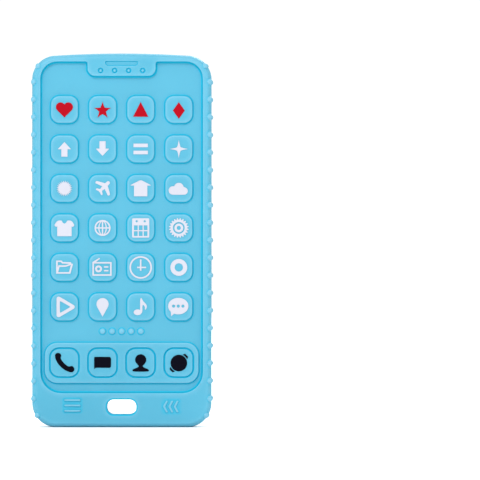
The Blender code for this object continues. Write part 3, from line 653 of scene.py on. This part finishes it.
def add_screen(bm, floor):
    """Icon pads, page dots and the dock, which stand on the pocket's floor."""
    holes = []
    for row in range(ROWS):
        for column in range(COLUMNS):
            pad = rounded_box((column_x(column), row_z(row)), PAD_HALF, PAD_HALF, PAD_RADIUS)
            edge, top = sweep(bm, pad, step(SCREEN_Y, PAD_Y, **PAD_WALL))
            fill(bm, [top])
            holes.append(edge)
    knob = dome(SCREEN_Y, SCREEN_Y - DOT_HEIGHT, DOT_FOOT, DOT_RADIUS)
    for i in range(DOT_COUNT):
        centre = ((i - (DOT_COUNT - 1) / 2) * DOT_PITCH, DOT_Z)
        edge, top = sweep(bm, circle(centre, DOT_RADIUS, 32), knob)
        cap(bm, top, -DOT_CROWN)
        holes.append(edge)
    middle = (0, (DOCK_BOTTOM + DOCK_TOP) / 2)
    dock = rounded_box(middle, DOCK_HALF_WIDTH, (DOCK_TOP - DOCK_BOTTOM) / 2, DOCK_RADIUS, 14)
    edge, top = sweep(bm, dock, step(SCREEN_Y, DOCK_Y, **DOCK_WALL))
    holes.append(edge)
    fill(bm, [floor, *holes])
    buttons = []
    groove = ring_groove(DOCK_Y, DOCK_GROOVE_WIDTH, DOCK_GROOVE_DEPTH)
    for column in range(COLUMNS):
        centre = (column_x(column), DOCK_ROW_Z)
        outline = rounded_box(centre, DOCK_GROOVE_HALF, DOCK_GROOVE_HALF, DOCK_GROOVE_RADIUS)
        edge, button = sweep(bm, outline, groove)
        fill(bm, [button])
        buttons.append(edge)
    fill(bm, [top, *buttons])


def stadium(x, low, high, steps=14):
    """A finger groove's outline, from its bottom to its top."""
    top = arc((x, high - GROOVE_HALF_WIDTH), GROOVE_HALF_WIDTH, 0, 180, steps)
    return top + arc((x, low + GROOVE_HALF_WIDTH), GROOVE_HALF_WIDTH, 180, 360, steps)


def groove_profile():
    """A deep channel with a soft lip, slightly drafted walls and rounded floor edges, with painted
    shade inside.
    """
    profile = lip(BACK_Y, -1, GROOVE_LIP, GROOVE_LIP_TONES)
    for t in quarter(6):
        distance = GROOVE_DRAFT + GROOVE_FILLET * (1 - math.cos(t))
        y = BACK_Y - GROOVE_DEPTH + GROOVE_FILLET * (1 - math.sin(t))
        tone = GROOVE_WALL_TONE + (GROOVE_FLOOR_TONE - GROOVE_WALL_TONE) * math.sin(t)
        profile.append((distance, y, tone))
    return profile


def add_back(bm, edge_ring):
    """Everything on the back face; returns the slot's deep ring at the back."""
    lip_edge, lip_deep = add_slot_lip(bm, BACK_Y, -1)
    holes = [lip_edge]
    for x, low, high in GROOVES:
        edge, floor = sweep(bm, stadium(x, low, high), groove_profile())
        fill(bm, [floor])
        holes.append(edge)
    plate = rounded_box(CAMERA_CENTRE, CAMERA_HALF, CAMERA_HALF, CAMERA_RADIUS, 14)
    edge, top = sweep(bm, plate, step(BACK_Y, CAMERA_Y, **CAMERA_WALL))
    holes.append(edge)
    fill(bm, [edge_ring, *holes])
    fill(bm, [top, *add_camera_details(bm)])
    return lip_deep


def add_camera_details(bm):
    """Lens drums, the flash ring and a small bar, on the camera plate."""
    holes = []
    drum = step(CAMERA_Y, LENS_Y, **LENS_WALL)
    groove = ring_groove(LENS_Y, LENS_GROOVE_WIDTH, -LENS_GROOVE_DEPTH)
    for centre in LENS_CENTRES:
        edge, top = sweep(bm, circle(centre, LENS_RADIUS, LENS_STEPS), drum)
        outline = circle(centre, LENS_GROOVE_RADIUS, LENS_STEPS)
        groove_edge, glass = sweep(bm, outline, groove)
        fill(bm, [top, groove_edge])
        cap(bm, glass)
        holes.append(edge)
    groove = ring_groove(CAMERA_Y, FLASH_GROOVE_WIDTH, -FLASH_GROOVE_DEPTH)
    edge, middle = sweep(bm, circle(FLASH_CENTRE, FLASH_RADIUS), groove)
    fill(bm, [middle])
    holes.append(edge)
    half_length, half_width = CAMERA_BAR_HALF_LENGTH, CAMERA_BAR_HALF_WIDTH
    bar = rounded_box(CAMERA_BAR_CENTRE, half_length, half_width, CAMERA_BAR_RADIUS, 5)
    wall = step(CAMERA_Y, CAMERA_Y + CAMERA_BAR_RISE, **CAMERA_BAR_WALL)
    edge, top = sweep(bm, bar, wall)
    fill(bm, [top])
    holes.append(edge)
    return holes


def make_body(material):
    bm = new_mesh()
    front, back = add_walls(bm)
    slot_front = add_front(bm, front)
    slot_back = add_back(bm, back)
    bridge(bm, slot_front, slot_back)
    finish_piece("silicone_body", bm, material, "silicone_blue", "body")


# ---------------------------------------------------------------- inlays


# How near two of a node's vertices lie that are one, in metres, and the y of a face's normal
# above which it does not look to the front.
MERGE_DISTANCE = 1e-7
FRONT_NORMAL_Y = -0.9


def front_loops(node):
    """The closed outlines of a CAD inlay's front face, in millimetres."""
    bm = bmesh.new()
    bm.from_mesh(frame["nodes"][node].data)
    bmesh.ops.remove_doubles(bm, verts=bm.verts, dist=MERGE_DISTANCE)
    bm.normal_update()
    following = {}
    for face in bm.faces:
        if face.normal.y > FRONT_NORMAL_Y:
            continue
        for loop in face.loops:
            if any(other.normal.y > FRONT_NORMAL_Y for other in loop.edge.link_faces):
                following[loop.vert.index] = loop.link_loop_next.vert.index
    places = {vert.index: (vert.co.x / MM, vert.co.z / MM) for vert in bm.verts}
    bm.free()
    loops = []
    while following:
        start = here = min(following)
        loop = []
        while here in following:
            loop.append(places[here])
            here = following.pop(here)
        if here != start:
            raise ValueError(f"{node} has an open outline")
        loops.append(loop)
    return loops


def turn(before, here, after):
    """By how many degrees an outline turns at a point."""
    (ax, az), (bx, bz) = direction(before, here), direction(here, after)
    return math.degrees(math.atan2(ax * bz - az * bx, ax * bx + az * bz))


def smoothed(loop):
    """The outline with a new point on every edge, curved where its corners are soft."""
    turns = [turn(*three) for three in neighbours(loop)]
    slopes = []
    for (before, here, after), angle in zip(neighbours(loop), turns):
        slopes.append(None if abs(angle) > SHARP_CORNER else direction(before, after))
    points = []
    for i, here in enumerate(loop):
        j = (i + 1) % len(loop)
        after = loop[j]
        chord, length = direction(here, after), math.dist(here, after)
        start, end = slopes[i] or chord, slopes[j] or chord
        middle = []
        for k in (0, 1):
            middle.append((here[k] + after[k]) / 2 + (start[k] - end[k]) * length / 8)
        points += [here, tuple(middle)]
    return points


def make_inlay(node, pad_y, material, slot):
    """A thin inlay with softly rounded upper edges, on the outline of its CAD node."""
    bm = new_mesh()
    loops = sorted(front_loops(node), key=lambda loop: -abs(area(loop)))
    fronts, backs = [], []
    for k, loop in enumerate(loops):
        loop = smoothed(smoothed(loop))
        way = 1 if k == 0 else -1
        profile = [(0.0, pad_y + INLAY_SUNK, 0.0)]
        for t in quarter(4):
            y = pad_y - INLAY_PROUD + INLAY_EDGE * (1 - math.sin(t))
            profile.append((way * INLAY_EDGE * (1 - math.cos(t)), y, 0.0))
        profile.append((way * (INLAY_EDGE + INLAY_SUPPORT), pad_y - INLAY_PROUD, 0.0))
        back, front = sweep(bm, loop, profile)
        fronts.append(front)
        backs.append(back)
    fill(bm, fronts)
    fill(bm, backs)
    finish_piece(node.replace("_inlay", "_icon"), bm, material, slot, node)


# ---------------------------------------------------------------- materials


def shader_node(tree, kind, **inputs):
    """A new node, with the values of its inputs; underscores stand for spaces."""
    made = tree.nodes.new(kind)
    for name, value in inputs.items():
        made.inputs[name.replace("_", " ")].default_value = value
    return made


def noise(tree, position, scale, detail=3.0):
    made = shader_node(tree, "ShaderNodeTexNoise", Scale=scale, Detail=detail)
    tree.links.new(position, made.inputs["Vector"])
    return made.outputs["Fac"]


def ramp(tree, value, stops):
    """A colour ramp through (position, colour) stops."""
    made = tree.nodes.new("ShaderNodeValToRGB")
    elements = made.color_ramp.elements
    for element, (place, colour) in zip(elements, (stops[0], stops[-1])):
        element.position, element.color = place, colour
    for place, colour in stops[1:-1]:
        elements.new(place).color = colour
    tree.links.new(value, made.inputs["Fac"])
    return made.outputs["Color"]


def scaled(colour, factor):
    return tuple(min(1.0, channel * factor) for channel in colour[:3]) + (1.0,)


def mixed(tree, factor, first, second):
    """The first colour, turning into the second as the factor goes from 0 to 1."""
    made = tree.nodes.new("ShaderNodeMix")
    made.data_type = "RGBA"
    for socket, value in (("Factor", factor), ("A", first), ("B", second)):
        target = next(s for s in made.inputs if s.name == socket and s.enabled)
        if isinstance(value, bpy.types.NodeSocket):
            tree.links.new(value, target)
        else:
            target.default_value = value
    return next(s for s in made.outputs if s.enabled)


def occlusion(tree, distance, inside):
    """How open a point is: 1 on a flat face, less in a hollow or, inside, at an edge."""
    made = shader_node(tree, "ShaderNodeAmbientOcclusion", Distance=distance * MM)
    made.samples = 8
    made.only_local = True
    made.inside = inside
    return made.outputs["AO"]


def grey(value):
    return (value, value, value, 1)


def silicone(name, colour, roughness, specular):
    """Moulded silicone: faint mottling in its colour and gloss, and a fine satin grain."""
    material = bpy.data.materials.new(name)
    material.use_nodes = True
    tree = material.node_tree
    shader = tree.nodes["Principled BSDF"]
    position = tree.nodes.new("ShaderNodeTexCoord").outputs["Object"]
    mottle = noise(tree, position, MOTTLE_SCALE)
    dull, bright = scaled(colour, 1 - MOTTLE_SPREAD), scaled(colour, 1 + MOTTLE_SPREAD)
    tree.links.new(ramp(tree, mottle, [(0.3, dull), (0.7, bright)]), shader.inputs["Base Color"])
    rub = noise(tree, position, RUB_SCALE, 4.0)
    glossy, matt = grey(roughness - GLOSS_SPREAD), grey(roughness + GLOSS_SPREAD)
    tree.links.new(ramp(tree, rub, [(0.3, glossy), (0.7, matt)]), shader.inputs["Roughness"])
    grain = noise(tree, position, GRAIN_SCALE, 2.0)
    bump = shader_node(tree, "ShaderNodeBump", Strength=0.12, Distance=0.0002)
    tree.links.new(grain, bump.inputs["Height"])
    tree.links.new(bump.outputs["Normal"], shader.inputs["Normal"])
    shader.inputs["IOR"].default_value = 1.41
    shader.inputs["Specular IOR Level"].default_value = specular
    return material


def silicone_with_painted_light(name, colour, deep, pale, roughness, specular):
    """Silicone, a little translucent, with painted shade in hollows and on walls, and a painted
    highlight along thin edges.
    """
    material = silicone(name, colour, roughness, specular)
    tree = material.node_tree
    shader = tree.nodes["Principled BSDF"]
    plain = shader.inputs["Base Color"].links[0].from_socket
    # Painted highlight: the colour pales where occlusion traced inside finds a thin edge.
    edge = ramp(tree, occlusion(tree, EDGE_REACH, True), [(0.5, grey(0.8)), (1.0, grey(0))])
    highlight_painted = mixed(tree, edge, plain, pale)
    # Painted shade: the colour deepens where occlusion finds a hollow.
    openness = occlusion(tree, HOLLOW_REACH, False)
    hollow = ramp(tree, openness, [(0.3, grey(0.5)), (0.95, grey(0))])
    shaded = mixed(tree, hollow, highlight_painted, deep)
    # The tone attribute paints shade where it is above 0 and a highlight where it is below 0.
    tone = tree.nodes.new("ShaderNodeAttribute")
    tone.attribute_name = TONE
    tone_painted = mixed(tree, tone.outputs["Fac"], shaded, deep)
    highlight_share = shader_node(tree, "ShaderNodeMath")
    highlight_share.operation = "MULTIPLY"
    highlight_share.inputs[1].default_value = -1.0
    tree.links.new(tone.outputs["Fac"], highlight_share.inputs[0])
    lit = mixed(tree, highlight_share.outputs["Value"], tone_painted, pale)
    tree.links.new(lit, shader.inputs["Base Color"])
    shader.inputs["Subsurface Weight"].default_value = 0.15
    shader.inputs["Subsurface Radius"].default_value = (0.4, 0.8, 1.0)
    shader.inputs["Subsurface Scale"].default_value = 0.0008
    return material


def make_materials():
    """The materials by slot."""
    blue = silicone_with_painted_light(
        "soft_blue_silicone", BLUE, SHADE_PAINTED_BLUE, HIGHLIGHT_PAINTED_BLUE, roughness=0.48, specular=0.15
    )
    return {
        "silicone_blue": blue,
        "silicone_red": silicone("red_silicone", RED, roughness=0.5, specular=0.08),
        "silicone_white": silicone("white_silicone", WHITE, roughness=0.5, specular=0.2),
        "silicone_black": silicone("black_silicone", BLACK, roughness=0.55, specular=0.04),
    }


# ---------------------------------------------------------------- stage


def make_floor():
    bm = bmesh.new()
    bmesh.ops.create_grid(bm, x_segments=1, y_segments=1, size=FLOOR_SIZE)
    mesh = bpy.data.meshes.new("floor")
    bm.to_mesh(mesh)
    bm.free()
    material = bpy.data.materials.new("pale_floor")
    material.use_nodes = True
    shader = material.node_tree.nodes["Principled BSDF"]
    shader.inputs["Base Color"].default_value = grey(FLOOR_GREY)
    shader.inputs["Roughness"].default_value = 1.0
    shader.inputs["Specular IOR Level"].default_value = 0.0
    mesh.materials.append(material)
    floor = bpy.data.objects.new("floor", mesh)
    bpy.context.collection.objects.link(floor)


def add_light(name, place, power):
    """A soft round light, turned to the middle of the phone."""
    light = bpy.data.lights.new(name, "AREA")
    light.shape = "DISK"
    light.size = KEY_SIZE
    light.energy = power
    lamp = bpy.data.objects.new(name, light)
    lamp.location = place
    way = Vector((0, 0, HEIGHT / 2 * MM)) - Vector(place)
    lamp.rotation_euler = way.to_track_quat("-Z", "Y").to_euler()
    lamp.visible_camera = False
    bpy.context.collection.objects.link(lamp)


def make_lights():
    add_light("key", KEY_PLACE, KEY_POWER)
    add_light("back_key", BACK_KEY_PLACE, BACK_KEY_POWER)
    world = bpy.data.worlds.new("studio")
    world.use_nodes = True
    background = world.node_tree.nodes["Background"]
    background.inputs["Color"].default_value = (1.0, 1.0, 1.0, 1)
    background.inputs["Strength"].default_value = WORLD_STRENGTH
    bpy.context.scene.world = world
    bpy.context.scene.view_settings.view_transform = "Standard"


def make_camera():
    camera = bpy.data.cameras.new("camera")
    camera.lens = LENS_LENGTH
    camera.sensor_width = SENSOR_WIDTH
    distance = VIEW_WIDTH * LENS_LENGTH / SENSOR_WIDTH
    camera.clip_end = 50.0
    rig = bpy.data.objects.new("camera", camera)
    rig.location = (VIEW_CENTRE[0], FRONT_Y * MM - distance, VIEW_CENTRE[1])
    rig.rotation_euler = (math.radians(90), 0, 0)
    bpy.context.collection.objects.link(rig)
    bpy.context.scene.camera = rig


def main():
    materials = make_materials()
    make_body(materials["silicone_blue"])
    for subpart in frame["record"]["subparts"]:
        name, slot = subpart["node"], subpart["material_slot"]
        if name != "body":
            pad_y = DOCK_Y if slot == "silicone_black" else PAD_Y
            make_inlay(name, pad_y, materials[slot], slot)
    make_floor()
    make_lights()
    make_camera()


main()
bpy.context.view_layer.update()
